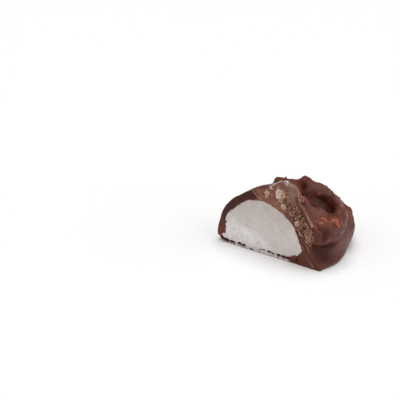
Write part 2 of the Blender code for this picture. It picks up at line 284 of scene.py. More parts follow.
def path_distance(path, u, z):
    """Millimetres from a place on the cut to the outside of a path, below 0 inside it."""
    best = 1e9
    for (u0, z0, w0), (u1, z1, w1) in zip(path, path[1:]):
        du, dz = u1 - u0, z1 - z0
        t = max(0.0, min(1.0, ((u - u0) * du + (z - z0) * dz) / (du * du + dz * dz)))
        away = math.hypot(u - u0 - du * t, z - z0 - dz * t)
        best = min(best, away - (w0 + (w1 - w0) * t))
    return best


def spot_distance(spot, u, z):
    """0 in the middle of an oval spot on the cut, 1 at its edge; a spot is (u, z, half u, half z)."""
    at_u, at_z, half_u, half_z = spot
    return math.hypot((u - at_u) / half_u, (z - at_z) / half_z)


def reach_share(path, place):
    """1 on a path of (u, v, z, reach), falling to 0 at its reach; place is (u, v, z)."""
    best = 0.0
    for start, end in zip(path, path[1:]):
        first, last = Vector(start[:3]), Vector(end[:3])
        span = last - first
        t = max(0.0, min(1.0, (place - first).dot(span) / span.length_squared))
        reach = start[3] + (end[3] - start[3]) * t
        best = max(best, 1 - (place - first - span * t).length / reach)
    return smooth(best)


def grain(point, size, shift=0.0):
    """Smooth noise between about -1 and 1, with lumps of a size; point and size in the same unit."""
    return noise.noise(Vector(point) / size + Vector((shift, shift * 0.7, -shift)))


def fibre(u, z, size, shift):
    """Noise drawn out along the crunchy part of the cut, which runs down to the right."""
    along, across = 0.67 * u - 0.74 * z, 0.74 * u + 0.67 * z
    return grain((along * 0.42, 0.0, across), size, shift)


def new_object(name, mesh):
    obj = bpy.data.objects.new(name, mesh)
    bpy.context.scene.collection.objects.link(obj)
    return obj


def bake(obj):
    """Swaps obj's mesh for what its modifiers make of it."""
    graph = bpy.context.evaluated_depsgraph_get()
    baked = bpy.data.meshes.new_from_object(obj.evaluated_get(graph))
    obj.modifiers.clear()
    old = obj.data
    obj.data = baked
    bpy.data.meshes.remove(old)


def object_from(name, bm):
    mesh = bpy.data.meshes.new(name)
    bm.to_mesh(mesh)
    bm.free()
    return new_object(name, mesh)


def node_mesh(name):
    """A bmesh copy of a CAD node, with the vertices that its shading splits merged again."""
    bm = bmesh.new()
    bm.from_mesh(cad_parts[name].data)
    bmesh.ops.remove_doubles(bm, verts=bm.verts, dist=MERGE_DISTANCE)
    bmesh.ops.recalc_face_normals(bm, faces=bm.faces)
    bm.normal_update()
    return bm


def node_tree(names):
    """A search tree over the surfaces of some CAD nodes."""
    vertices, faces = [], []
    for name in names:
        bm = node_mesh(name)
        first = len(vertices)
        bm.verts.index_update()
        vertices += [v.co.copy() for v in bm.verts]
        faces += [[first + v.index for v in f.verts] for f in bm.faces]
        bm.free()
    return BVHTree.FromPolygons(vertices, faces)


def grown_node(name, near, amount):
    """A CAD node that reaches over its gap to the nodes near it, and out through the cut face."""
    bm = node_mesh(name)
    moves = []
    for vertex in bm.verts:
        move = Vector()
        if near.find_nearest(vertex.co, GAP_REACH)[0] is not None:
            move = vertex.normal * amount
        if vertex.co.y < CUT_FOOT.y + ON_FACE:
            move.y = -OVERLAP_FRONT
        moves.append(move)
    for vertex, move in zip(bm.verts, moves):
        vertex.co += move
    return bm


def join_meshes(name, parts):
    """One object from several bmeshes, which are freed."""
    whole = bmesh.new()
    for part in parts:
        mesh = bpy.data.meshes.new("part")
        part.to_mesh(mesh)
        part.free()
        whole.from_mesh(mesh)
        bpy.data.meshes.remove(mesh)
    return object_from(name, whole)


def remesh(obj, voxel, smoothing):
    """Melts obj's parts into one skin, then smooths it some times over."""
    melt = obj.modifiers.new("melt", "REMESH")
    melt.mode = "VOXEL"
    melt.voxel_size = voxel
    if smoothing:
        soften = obj.modifiers.new("soften", "SMOOTH")
        soften.factor = 0.5
        soften.iterations = smoothing
    bake(obj)


def knife(name, relief, material):
    """The block that is cut away: its back face is the cut, with relief(u, z) millimetres of depth."""
    left, right, low, high = -26.0, 26.0, -2.0, 36.0
    cell = KNIFE_CELL / MM
    columns = round((right - left) / cell)
    rows = round((high - low) / cell)
    bm = bmesh.new()
    grid = []
    for j in range(rows + 1):
        z = low + (high - low) * j / rows
        row = []
        for i in range(columns + 1):
            u = left + (right - left) * i / columns
            edge = i in (0, columns) or j in (0, rows)
            row.append(bm.verts.new(on_cut(u, 0.0 if edge else relief(u, z), z)))
        grid.append(row)
    for j in range(rows):
        for i in range(columns):
            bm.faces.new((grid[j][i], grid[j][i + 1], grid[j + 1][i + 1], grid[j + 1][i]))
    rim = grid[0] + [row[-1] for row in grid[1:]]
    rim += grid[-1][-2::-1] + [row[0] for row in grid[-2:0:-1]]
    front = [bm.verts.new(v.co - Vector((0.0, KNIFE_DEPTH, 0.0))) for v in rim]
    for i in range(len(rim)):
        j = (i + 1) % len(rim)
        bm.faces.new((rim[j], rim[i], front[i], front[j]))
    bm.faces.new(front)
    bmesh.ops.recalc_face_normals(bm, faces=bm.faces)
    obj = object_from(name, bm)
    obj.data.materials.append(material)
    return obj


def cut(obj, cutter):
    """Cuts cutter out of obj, and removes cutter."""
    boolean = obj.modifiers.new("cut", "BOOLEAN")
    boolean.operation = "DIFFERENCE"
    boolean.solver = "EXACT"
    boolean.material_mode = "TRANSFER"
    boolean.object = cutter
    bake(obj)
    bpy.data.objects.remove(cutter)


def colour_points(obj, colour_at):
    """Stores a colour for each vertex, which the material reads as its base."""
    layer = obj.data.color_attributes.new("tint", "FLOAT_COLOR", "POINT")
    for vertex in obj.data.vertices:
        layer.data[vertex.index].color = (*colour_at(vertex.co), 1.0)
    obj.data.shade_smooth()


def place_piece(obj, replaced=()):
    """Lets a piece ride on the part and the nodes that it stands for."""
    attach(obj, "root")
    if replaced:
        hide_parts(*replaced)


# Materials

class Nodes:
    """Short ways to add shader nodes to a new material."""

    def __init__(self, name):
        self.material = bpy.data.materials.new(name)
        self.material.use_nodes = True
        self.tree = self.material.node_tree
        self.shader = self.tree.nodes["Principled BSDF"]
        self.place = self.tree.nodes.new("ShaderNodeTexCoord").outputs["Object"]

    def link(self, source, target):
        self.tree.links.new(source, target)

    def noise(self, size, detail=4.0, roughness=0.55, stretch=None):
        """A noise texture's value, with lumps of a size in metres."""
        node = self.tree.nodes.new("ShaderNodeTexNoise")
        node.inputs["Scale"].default_value = 1 / size
        node.inputs["Detail"].default_value = detail
        node.inputs["Roughness"].default_value = roughness
        source = self.place
        if stretch:
            mapping = self.tree.nodes.new("ShaderNodeMapping")
            mapping.inputs["Scale"].default_value = stretch
            self.link(self.place, mapping.inputs["Vector"])
            source = mapping.outputs["Vector"]
        self.link(source, node.inputs["Vector"])
        return node.outputs["Fac"]

    def between(self, value, low, high, first=0.0, last=1.0):
        """value mapped from low..high to first..last."""
        node = self.tree.nodes.new("ShaderNodeMapRange")
        for key, number in zip(("From Min", "From Max", "To Min", "To Max"), (low, high, first, last)):
            node.inputs[key].default_value = number
        self.link(value, node.inputs["Value"])
        return node.outputs["Result"]

    def stored(self, name, output="Fac"):
        """A number, or with output Color a colour, that is stored for each vertex."""
        node = self.tree.nodes.new("ShaderNodeAttribute")
        node.attribute_name = name
        return node.outputs[output]

    def blend(self, share, first, second, mode="MIX"):
        """Mixes two colours, each a socket or fixed, by a share that is a socket or a number."""
        node = self.tree.nodes.new("ShaderNodeMix")
        node.data_type = "RGBA"
        node.blend_type = mode
        for key, value in ((0, share), (6, first), (7, second)):
            if isinstance(value, bpy.types.NodeSocket):
                self.link(value, node.inputs[key])
            else:
                node.inputs[key].default_value = value if key == 0 else (*value, 1.0)
        return node.outputs[2]

    def mottle(self, low, high, spread, size, detail=4.0, roughness=0.55, stretch=None):
        """Colours from low to high in lumps of a size; a small spread gives sharper edges."""
        lumps = self.noise(size, detail, roughness, stretch)
        return self.blend(self.between(lumps, 0.5 - spread, 0.5 + spread), low, high)

    def base_colour(self, mottling):
        """Colours the surface with its stored tint times a mottling."""
        tint = self.stored("tint", "Color")
        self.link(self.blend(1.0, tint, mottling, "MULTIPLY"), self.shader.inputs["Base Color"])

    def roughness(self, size, low, high):
        """Roughness from low to high in patches of a size."""
        patches = self.between(self.noise(size), 0.3, 0.7, low, high)
        self.link(patches, self.shader.inputs["Roughness"])

    def set(self, key, value):
        """A number or colour that is the same all over the surface."""
        self.shader.inputs[key].default_value = value

    def let_light_in(self, weight, reach):
        """Lets light sink in, red, green and blue by their reach in millimetres."""
        self.set("Subsurface Weight", weight)
        self.set("Subsurface Radius", [part * MM for part in reach])
        self.set("Subsurface Scale", 1.0)

    def bump(self, height, strength, distance, normal=None):
        node = self.tree.nodes.new("ShaderNodeBump")
        node.inputs["Strength"].default_value = strength
        node.inputs["Distance"].default_value = distance
        self.link(height, node.inputs["Height"])
        if normal:
            self.link(normal, node.inputs["Normal"])
        return node.outputs["Normal"]


def chocolate_outside():
    """Milk chocolate as it set: satin, faintly mottled, with fine soft bumps."""
    n = Nodes("chocolate_outside")
    patches = n.mottle((0.86, 0.84, 0.83), (1.16, 1.18, 1.20), 0.15, 4.5 * MM, detail=3.0)
    fine = n.mottle((0.8, 0.8, 0.8), (1.2, 1.2, 1.2), 0.2, 0.5 * MM, detail=3.0)
    n.base_colour(n.blend(0.35, patches, fine, "MULTIPLY"))
    n.roughness(2.2 * MM, 0.38, 0.54)
    n.link(n.between(n.stored("gloss"), 0.0, 1.0, 0.06, 0.56), n.shader.inputs["Specular IOR Level"])
    n.let_light_in(0.06, (1.2, 0.5, 0.3))
    soft = n.bump(n.noise(1.3 * MM, detail=2.0), 0.35, 0.18 * MM)
    n.link(n.bump(n.noise(0.32 * MM, detail=3.0), 0.4, 0.05 * MM, soft), n.shader.inputs["Normal"])
    return n.material


def chocolate_cut():
    """The knife's face through the chocolate: dull, grainy, streaked up and down."""
    n = Nodes("chocolate_cut")
    streak_shape = (1.0, 1.0, 0.16)
    streaks = n.mottle((0.85, 0.84, 0.83), (1.18, 1.2, 1.2), 0.2, 0.55 * MM, 3.0, stretch=streak_shape)
    fine = n.mottle((0.72, 0.70, 0.70), (1.28, 1.3, 1.3), 0.2, 0.28 * MM, roughness=0.7)
    n.base_colour(n.blend(1.0, streaks, fine, "MULTIPLY"))
    n.roughness(0.9 * MM, 0.6, 0.8)
    n.set("Specular IOR Level", 0.22)
    rough = n.bump(n.noise(0.25 * MM, detail=5.0, roughness=0.7), 0.6, 0.1 * MM)
    n.link(rough, n.shader.inputs["Normal"])
    return n.material


def marshmallow_material():
    """Matt, finely porous marshmallow that light sinks into a little."""
    n = Nodes("marshmallow")
    clouds = n.mottle((0.95, 0.935, 0.925), (1.04, 1.045, 1.05), 0.15, 2.4 * MM)
    fine = n.mottle((0.92, 0.92, 0.92), (1.07, 1.07, 1.07), 0.2, 0.3 * MM, roughness=0.7)
    n.base_colour(n.blend(1.0, clouds, fine, "MULTIPLY"))
    n.roughness(0.8 * MM, 0.8, 0.95)
    n.set("Specular IOR Level", 0.15)
    n.let_light_in(0.35, (0.9, 0.7, 0.6))
    pores = n.bump(n.noise(0.45 * MM, detail=5.0, roughness=0.65), 0.5, 0.12 * MM)
    n.link(pores, n.shader.inputs["Normal"])
    return n.material


def crumb_material(name, roughness, translucence):
    """Toasted crisp or crumb: matt and porous, with its own mottling over the tint."""
    n = Nodes(name)
    n.base_colour(n.mottle((0.68, 0.62, 0.55), (1.25, 1.27, 1.3), 0.18, 0.45 * MM, roughness=0.65))
    n.roughness(0.7 * MM, roughness - 0.1, roughness + 0.1)
    n.set("Specular IOR Level", 0.2)
    n.let_light_in(translucence, (0.8, 0.45, 0.2))
    holes = n.bump(n.noise(0.35 * MM, detail=4.0, roughness=0.7), 0.7, 0.15 * MM)
    n.link(holes, n.shader.inputs["Normal"])
    return n.material


# The coat

def crunch_share(u, z):
    """How much a place on the cut belongs to the crunchy mix, with a ragged edge."""
    ragged = 0.7 * grain((u, 0.0, z), 1.3, 4.0) + 0.4 * grain((u, 0.0, z), 0.6, 9.0)
    return smooth(0.5 - (path_distance(CRUNCH_PATH, u, z) + ragged) / 0.8)


def lower_share(z):
    """0 in the topping's smoother upper part, 1 in the rough part below it."""
    return smooth((ROUGH_TOP - z) / 3.0)


def strip_share(u, z):
    """How much a place on the cut belongs to the smeared foot strip."""
    return smooth((FOOT_STRIP_TOP + 0.4 - z) / 0.5) * smooth((FOOT_STRIP_RIGHT - u) / 1.5)


def hole_share(u, z):
    """1 inside the foot strip's dark holes, which have ragged edges."""
    ragged = 0.45 * grain((u, 0.0, z), 0.7, 2.0) + 0.3 * grain((u, 0.0, z), 0.35, 6.0)
    nearest = min(spot_distance(hole, u, z) for hole in STRIP_HOLES)
    return smooth((1.25 + ragged - nearest) / 0.4)


def coat_relief(u, z):
    """Millimetres that the chocolate's cut face lies behind the cut plane."""
    place = (u, 0.0, z)
    depth = 0.05 * grain(place, 3.0) + 0.03 * grain((u, 0.0, z * 0.2), 0.6, 1.0)
    crunch = crunch_share(u, z)
    if crunch > 0:
        lumps = 0.26 * grain(place, 1.15, 3.0) + 0.30 * fibre(u, z, 0.5, 7.0)
        lumps += 0.12 * grain(place, 0.4, 8.0)
        pits = max(0.0, grain(place, 0.8, 12.0) - 0.14) * 1.7
        depth += crunch * (0.3 + 0.7 * lower_share(z)) * (lumps + pits)
    strip = strip_share(u, z)
    if strip > 0:
        depth += strip * (0.7 * hole_share(u, z) - 0.12 + 0.12 * grain(place, 0.5, 5.0))
    depth += 0.8 * path_share(CRACK_PATH, u, z, 0.3)
    depth += 0.3 * path_share(DARK_BAND_PATH, u, z, 0.8)
    depth -= 0.2 * path_share(CHIP_PATH, u, z, 0.3)
    facet = path_share(FACET_PATH, u, z, 0.5)
    depth += facet * (0.16 * grain(place, 0.45, 17.0) + 0.08 * grain(place, 0.9, 18.0))
    for path in FACET_EDGE_PATHS + KNIFE_STREAKS:
        depth -= 0.12 * path_share(path, u, z, 0.25)
    depth -= 0.30 * path_share(LIP_PATH, u, z, 0.45)
    depth -= 0.10 * path_share(BAND_EDGE_PATH, u, z, 0.4)
    return depth


def crunch_colour(u, z):
    """Pinkish and tan fibres over dark chocolate."""
    place = (u, 0.0, z)
    light = smooth(0.5 + (0.8 * fibre(u, z, 0.42, 7.0) + 0.6 * grain(place, 1.2, 5.0) - 0.12) / 0.35)
    dark = smooth(0.5 + (grain(place, 0.7, 12.0) - 0.16) / 0.2)
    base = mix(CRUNCH_DARK, TOPPING_CUT, 0.75 + 0.6 * grain(place, 0.8, 15.0))
    return mix(mix(base, CRUNCH_LIGHT, 0.75 * light), CRUNCH_DARK, 0.75 * dark)


def cut_colour(u, z):
    """The chocolate's colour at a place on the cut face."""
    place = (u, 0.0, z)
    left = smooth((RED_RIGHT - u) / 6.0)
    low = smooth((RED_TOP - z) / 6.0)
    colour = mix(CUT_CHOCOLATE, RED_CUT, left * low * 0.85)
    lumpy = smooth((u - TOPPING_LEFT) / 1.5) * smooth((z - TOPPING_LOW) / 4.0)
    colour = mix(colour, TOPPING_CUT, lumpy)
    colour = mix(colour, DARK_CUT, 0.85 * path_share(DARK_BAND_PATH, u, z, 0.7))
    colour = mix(colour, LIP_PINK, 0.6 * path_share(BAND_EDGE_PATH, u, z, 0.35))
    crunch = crunch_share(u, z)
    if crunch > 0:
        colour = mix(colour, crunch_colour(u, z), crunch * (0.45 + 0.55 * lower_share(z)))
    # Painted sheen on the facet: a lighter, greyer, grainy patch.
    grainy = 1 + 0.35 * grain(place, 0.45, 17.0) + 0.2 * grain(place, 0.9, 18.0)
    colour = mix(colour, tuple(c * grainy for c in FACET_SHEEN), path_share(FACET_PATH, u, z, 0.6) * 0.9)
    for path in FACET_EDGE_PATHS:
        colour = mix(colour, FACET_EDGE, 0.8 * path_share(path, u, z, 0.25))
    for path in KNIFE_STREAKS:
        colour = mix(colour, LIP_PINK, 0.45 * path_share(path, u, z, 0.2))
    flank = mix(CUT_CHOCOLATE, DARK_CUT, 0.45)
    colour = mix(colour, flank, 0.7 * path_share(SMOOTH_FLANK_PATH, u, z, 0.6))
    colour = mix(colour, LIP_PINK, path_share(LIP_PATH, u, z, 0.3))
    strip = strip_share(u, z)
    if strip > 0:
        reddish = 0.45 * smooth((0.5 - z) / 0.4) + 0.3 * smooth(grain(place, 0.6, 9.0) * 2)
        smeared = mix(SMEAR_WHITE, RED_CUT, reddish)
        # In the holes, chocolate darkened with painted shade.
        colour = mix(colour, mix(smeared, STRIP_HOLE_SHADE, hole_share(u, z)), strip)
    colour = mix(colour, CHIP_RED, path_share(CHIP_PATH, u, z, 0.2))
    # Painted shade inside the crack.
    return mix(colour, CRACK_SHADE, path_share(CRACK_PATH, u, z, 0.2))


def crumb_share(place, reach):
    """How near a place in (u, v, z) lies to one of the outside's reddish crumbs."""
    best = 0.0
    for u, v, z, size in OUTER_CRUMBS:
        best = max(best, 1 - (place - Vector((u, v, z))).length / (reach * size))
    return smooth(best)


def lumpy_share(point, shell_tree, topping_tree, blend):
    """1 on the topping and 0 on the shell, with a soft change."""
    to_shell = shell_tree.find_nearest(point)[3]
    to_topping = topping_tree.find_nearest(point)[3]
    return smooth(0.5 + (to_shell - to_topping) / blend)


def outside_swell(place, lumpy):
    """Millimetres that the outside stands out at a place in (u, v, z); lumpy is 1 on the topping."""
    swell = 0.10 * grain(place, 6.0) + 0.04 * grain(place, 1.6, 2.0)
    swell += lumpy * (0.40 * grain(place, 2.9, 5.0) + 0.14 * grain(place, 1.1, 8.0))
    waves = grain((place.x, place.y, place.z * 0.2), 3.2, 14.0)
    swell += (1 - lumpy) * 0.16 * waves * smooth((place.y - 3.0) / 5.0)
    for _, amount, path in OUTER_MARKS:
        swell += amount * reach_share(path, place)
    return swell + 0.3 * crumb_share(place, 1.5)


def make_coat(shell_tree, topping_tree, outside, cut_face):
    """Shell, topping and the crisps' pockets melted into one skin, roughened, and cut."""
    core_tree = node_tree(("marshmallow",))
    parts = [
        grown_node("shell", node_tree(("marshmallow", "topping") + CRISP_NODES), COAT_GROWS),
        grown_node("topping", node_tree(("marshmallow", "shell") + CRISP_NODES), COAT_GROWS),
    ]
    anywhere = node_tree(("shell", "topping"))
    parts += [grown_node(name, anywhere, POCKET_GROWS) for name in CRISP_NODES]
    coat = join_meshes("chocolate_coat", parts)
    remesh(coat, COAT_VOXEL, 2)
    coat.data.materials.append(outside)
    coat.data.materials.append(cut_face)
    moves = []
    for vertex in coat.data.vertices:
        place = vertex.co
        if core_tree.find_nearest(place, RAGGED_REACH)[0] is not None:
            swell = 0.32 * grain(place, 1.3 * MM, 3.0) + 0.26 * grain(place, 0.6 * MM, 6.0)
        else:
            lumpy = lumpy_share(place, shell_tree, topping_tree, SWELL_BLEND)
            swell = outside_swell(to_cut(place), lumpy)
        moves.append(vertex.normal * swell * MM)
    for vertex, move in zip(coat.data.vertices, moves):
        vertex.co += move
        vertex.co.z = max(0.0, vertex.co.z)
    cut(coat, knife("coat_knife", coat_relief, cut_face))
    return coat


def outside_look(point, shell_tree, topping_tree):
    """The coat's colour and gloss away from the cut, with painted shade and painted light laid on along
    paths.
    """
    place = to_cut(point)
    lumpy = lumpy_share(point, shell_tree, topping_tree, COLOUR_BLEND)
    shade = 1 + 0.10 * grain(place, 5.0, 3.0)
    colour = tuple(c * shade for c in mix(CHOCOLATE, TOPPING_CHOCOLATE, lumpy))
    gloss = 0.45
    # Painted shade and painted light: each path's colour factor darkens or lightens the chocolate near
    # it.
    for _, factor, shine, path in OUTER_PAINTED_LIGHT:
        share = reach_share(path, place)
        colour = tuple(c * (1 + (f - 1) * share) for c, f in zip(colour, factor))
        gloss += (shine - gloss) * share
    return mix(colour, CRUMB_RED, 0.6 * crumb_share(place, 1.3)), gloss


def colour_coat(coat, shell_tree, topping_tree):
    """Stores the coat's colour and gloss for each vertex."""
    coat.data.color_attributes.new("tint", "FLOAT_COLOR", "POINT")
    coat.data.attributes.new("gloss", "FLOAT", "POINT")
    tint, gloss = coat.data.attributes["tint"], coat.data.attributes["gloss"]
    for vertex in coat.data.vertices:
        u, v, z = to_cut(vertex.co)
        colour, shine = outside_look(vertex.co, shell_tree, topping_tree)
        if v < CUT_COLOUR_DEPTH + CUT_COLOUR_FADE:
            colour = mix(cut_colour(u, z), colour, smooth((v - CUT_COLOUR_DEPTH) / CUT_COLOUR_FADE))
        tint.data[vertex.index].color = (*colour, 1.0)
        gloss.data[vertex.index].value = shine
    coat.data.shade_smooth()


# The marshmallow, and its dimple and stain as u, z and half sizes in millimetres

DIMPLE = (-8.2, 9.3, 0.8, 0.9)
STAIN = (4.0, 14.0, 8.0, 6.5)


def marshmallow_relief(u, z):
    """Millimetres that the marshmallow's cut face lies behind the cut plane."""
    place = (u, 0.0, z)
    depth = 0.10 + 0.16 * grain(place, 2.6, 2.0) + 0.08 * grain(place, 0.9, 4.0)
    torn = path_share(GRANULAR_PATH, u, z, 2.0)
    depth += torn * (0.46 * grain(place, 1.5, 6.0) + 0.22 * grain(place, 0.7, 8.0) - 0.1)
    dimple = spot_distance(DIMPLE, u, z)
    depth += 0.4 * smooth(1.2 - dimple) - 0.12 * smooth(1 - abs(dimple - 1.4) / 0.5)
    if z < 3.0:
        depth += 0.6 * hole_share(u, z)
    return depth


def marshmallow_colour(place):
    u, _, z = to_cut(place)
    torn = path_share(GRANULAR_PATH, u, z, 3.0)
    colour = mix(MARSHMALLOW, MARSHMALLOW_WHITE, torn * (0.8 + 0.5 * grain((u, 0.0, z), 1.0, 6.0)))
    # Painted shade: darker in the pits of the torn part and towards the top.
    pitted = 1 - 0.10 * torn * smooth(2.2 * grain((u, 0.0, z), 0.7, 8.0))
    shade = pitted * (1 - 0.14 * smooth((z - 8.0) / 10.0))
    colour = tuple(c * shade for c in colour)
    scratch = smooth((grain((u * 1.4, 0.0, z * 0.8), 0.7, 31.0) - 0.24) / 0.2)
    stained = smooth(1 - spot_distance(STAIN, u, z))
    return mix(colour, SCRATCH_TAN, 0.5 * scratch * stained)


def make_marshmallow(material):
    """The core, grown to meet the chocolate and cut by its own knife."""
    anywhere = node_tree(("shell", "topping"))
    core = join_meshes("marshmallow_core", [grown_node("marshmallow", anywhere, CORE_GROWS)])
    for vertex in core.data.vertices:
        vertex.co.z = max(CORE_FLOOR, vertex.co.z)
    core.data.materials.append(material)
    cut(core, knife("core_knife", marshmallow_relief, material))
    colour_points(core, marshmallow_colour)
    return core


# Crisps, crumbs and flakes

def crisp_colour(place, seed):
    """Cream with tan pores and browned patches."""
    spot = grain(place, 1.1 * MM, seed)
    pores = smooth((grain(place, 0.5 * MM, seed + 3) + 0.05) / 0.35)
    colour = mix(CRISP_TAN, CRISP_CREAM, smooth(0.5 + spot))
    return mix(colour, mix(CRISP_TAN, CRISP_BROWN, 0.35), 0.6 * pores)


# The large crisp's middle, creamy rim and browned top: (u, z) in millimetres
CRISP_MIDDLE = (4.9, 24.6)
CRISP_RIM = (6.0, 23.6)
CRISP_TOP = (5.0, 26.1)


def large_crisp_colour(place, seed):
    """Whitish on the left, yellow and porous on the lower right, browned on top."""
    u, _, z = to_cut(place)
    patch = 0.5 * grain(place, 0.9 * MM, seed)
    to_right, above = u - CRISP_MIDDLE[0], z - CRISP_MIDDLE[1]
    yellow = smooth(0.5 + (0.7 * to_right - 0.3 * above + patch) / 0.7)
    rim = smooth((u - CRISP_RIM[0]) / 0.3) * smooth((z - CRISP_RIM[1]) / 1.0)
    colour = mix(mix(CRISP_WHITE, CRISP_YELLOW, yellow), CRISP_CREAM, 0.8 * rim)
    pores = smooth((grain(place, 0.5 * MM, seed + 3) - 0.05) / 0.3)
    colour = mix(colour, mix(CRISP_TAN, CRISP_BROWN, 0.6), pores * (0.25 + 0.55 * yellow))
    cap = smooth((z - CRISP_TOP[1] + patch) / 0.6) * smooth(1.6 - abs(u - CRISP_TOP[0]) / 1.2)
    return mix(colour, CRISP_BROWN, 0.85 * cap)


def edge_crisp_colour(place, seed):
    """Pinkish shreds over dark gaps."""
    light = smooth(0.5 + (grain(place, 0.55 * MM, seed) - 0.02) / 0.25)
    return mix(CUT_CHOCOLATE, mix(CRUMB_PINK, CRISP_CREAM, 0.3), 0.25 + 0.75 * light)


def make_crisp(name, seed, proud, pitted, colour_at, material):
    """A crisp as a rough porous lump that stands a little proud of the cut."""
    obj = join_meshes(name + "_crumb", [node_mesh(name)])
    remesh(obj, CRISP_VOXEL, 1)
    moves = []
    for vertex in obj.data.vertices:
        place = vertex.co
        swell = 0.16 * grain(place, 0.9 * MM, seed) + 0.12 * grain(place, 0.4 * MM, seed + 5)
        pits = max(0.0, grain(place, 0.7 * MM, seed + 9) - 0.08) * pitted
        stands_out = proud if vertex.normal.y < -0.5 else 0.30
        moves.append(vertex.normal * (stands_out + swell - pits) * MM)
    for vertex, move in zip(obj.data.vertices, moves):
        vertex.co += move
    obj.data.materials.append(material)
    colour_points(obj, lambda place: colour_at(place, seed))
    return obj


# Name, noise seed, millimetres that it stands out of the cut, depth of its pits, and colouring
CRISP_LOOKS = (
    ("crisp_large", 3.0, 0.34, 1.0, large_crisp_colour),
    ("crisp_left", 7.1, 0.34, 0.7, crisp_colour),
    ("crisp_inner", 11.2, 0.25, 0.8, crisp_colour),
    ("crisp_side", 15.3, 0.36, 0.8, crisp_colour),
    ("crisp_edge", 19.4, 0.15, 1.6, edge_crisp_colour),
)


def make_crisps(material):
    for name, seed, proud, pitted, colour_at in CRISP_LOOKS:
        obj = make_crisp(name, seed, proud, pitted, colour_at, material)
        place_piece(obj, (name,))


def rough_ball(bm, centre, radii, seed, roughness=0.35, subdivisions=2, turn=None):
    """Adds one knobbly lump to bm, and returns its vertices."""
    made = bmesh.ops.create_icosphere(bm, subdivisions=subdivisions, radius=1.0)["verts"]
    turn = turn or Matrix.Identity(3)
    for vertex in made:
        coarse, fine = grain(vertex.co, 0.8, seed), grain(vertex.co, 0.4, seed + 2)
        swell = 1 + roughness * coarse + 0.6 * roughness * fine
        shaped = Vector(a * b for a, b in zip(vertex.co * swell, radii))
        vertex.co = turn @ shaped + centre
    return made


class Crumbs:
    """Many small lumps in one mesh, each with its own colour."""

    def __init__(self, name, seed):
        self.name = name
        self.bm = bmesh.new()
        self.layer = self.bm.verts.layers.float_color.new("tint")
        self.rng = random.Random(seed)

    def turn(self, direction=None, wobble=1.0):
        """A turn that lays a lump along a direction, give or take, or else any way round."""
        rng = self.rng
        loose = Vector((rng.uniform(-1, 1), rng.uniform(-1, 1), rng.uniform(-1, 1)))
        if direction is None:
            return Matrix.Rotation(rng.uniform(0, math.tau), 3, loose.normalized())
        return (Vector(direction).normalized() + loose * wobble).to_track_quat("X", "Z").to_matrix()

    def add(self, centre, size, colour, shape, turn=None, roughness=0.5, subdivisions=2):
        """Adds a lump of a size in millimetres; shape is its length, width and height against it."""
        rng = self.rng
        radii = [0.5 * size * part * MM * rng.uniform(0.8, 1.2) for part in shape]
        shade = rng.uniform(0.8, 1.2)
        turn = turn or self.turn()
        seed = rng.uniform(0, 90)
        for vertex in rough_ball(self.bm, centre, radii, seed, roughness, subdivisions, turn):
            vertex[self.layer] = (*(c * shade for c in colour), 1.0)

    def finish(self, material):
        obj = object_from(self.name, self.bm)
        obj.data.materials.append(material)
        obj.data.shade_smooth()
        place_piece(obj)


CRUNCH_CRUMBS = 420
CRUNCH_GRAIN = (0.67, 0.0, -0.74)
CRUNCH_SPANS = ((-3, 19), (8, 30))


def scatter_crunch(material):
    """Pinkish, tan and dark fibres and crumbs all along the crunchy part of the cut."""
    crumbs = Crumbs("crunch_crumbs", 11)
    rng = crumbs.rng
    colours = (CRUMB_PINK, CRISP_TAN, CRUNCH_LIGHT, CUT_CHOCOLATE, CRUNCH_DARK, CRISP_CREAM)
    weights = (7, 1, 7, 3, 2, 0.5)
    made = 0
    while made < CRUNCH_CRUMBS:
        u, z = (rng.uniform(*span) for span in CRUNCH_SPANS)
        if crunch_share(u, z) < 0.6:
            continue
        if rng.random() > 0.12 + 0.88 * lower_share(z):
            continue
        colour = rng.choices(colours, weights)[0]
        size = rng.uniform(0.25, 0.6)
        depth = coat_relief(u, z) + rng.uniform(-0.06, 0.1)
        shape = (rng.uniform(1.0, 2.2), 0.7, 0.8)
        crumbs.add(on_cut(u, depth, z), size, colour, shape, crumbs.turn(CRUNCH_GRAIN, 0.7))
        made += 1
    crumbs.finish(material)


# Small crisps on the cut: u, z, size in millimetres and colour
SMALL_CRISPS = (
    (0.9, 26.3, 1.1, CRISP_CREAM),
    (0.6, 26.6, 0.7, SMEAR_LILAC),
    (1.5, 25.6, 0.6, CRISP_TAN),
    (3.3, 21.4, 0.9, CRISP_TAN),
    (2.7, 20.9, 0.6, CRISP_TAN),
    (4.1, 22.1, 0.8, CRISP_CREAM),
    (8.1, 23.2, 0.6, CRISP_CREAM),
    (7.4, 25.6, 0.6, CRISP_TAN),
    (2.4, 24.9, 0.5, CRISP_TAN),
    (12.5, 12.3, 1.0, CRISP_TAN),
    (12.8, 11.8, 0.7, CRISP_CREAM),
    (11.0, 14.7, 0.7, CRISP_TAN),
    (14.6, 16.2, 0.7, CRISP_TAN),
    (13.2, 18.6, 0.8, CRUMB_PINK),
    (10.6, 17.6, 0.9, CRUMB_PINK),
    (15.0, 12.3, 0.7, CRUMB_PINK),
    (16.1, 12.5, 0.7, CRUMB_PINK),
    (16.9, 11.6, 0.8, CRUMB_PINK),
    (17.1, 10.4, 0.7, CRUMB_PINK),
    (16.4, 9.5, 0.8, CRUMB_PINK),
    (15.2, 9.6, 0.7, CRISP_CREAM),
    (14.7, 10.8, 0.6, CRUMB_PINK),
    (16.9, 8.7, 0.6, CRUMB_PINK),
)


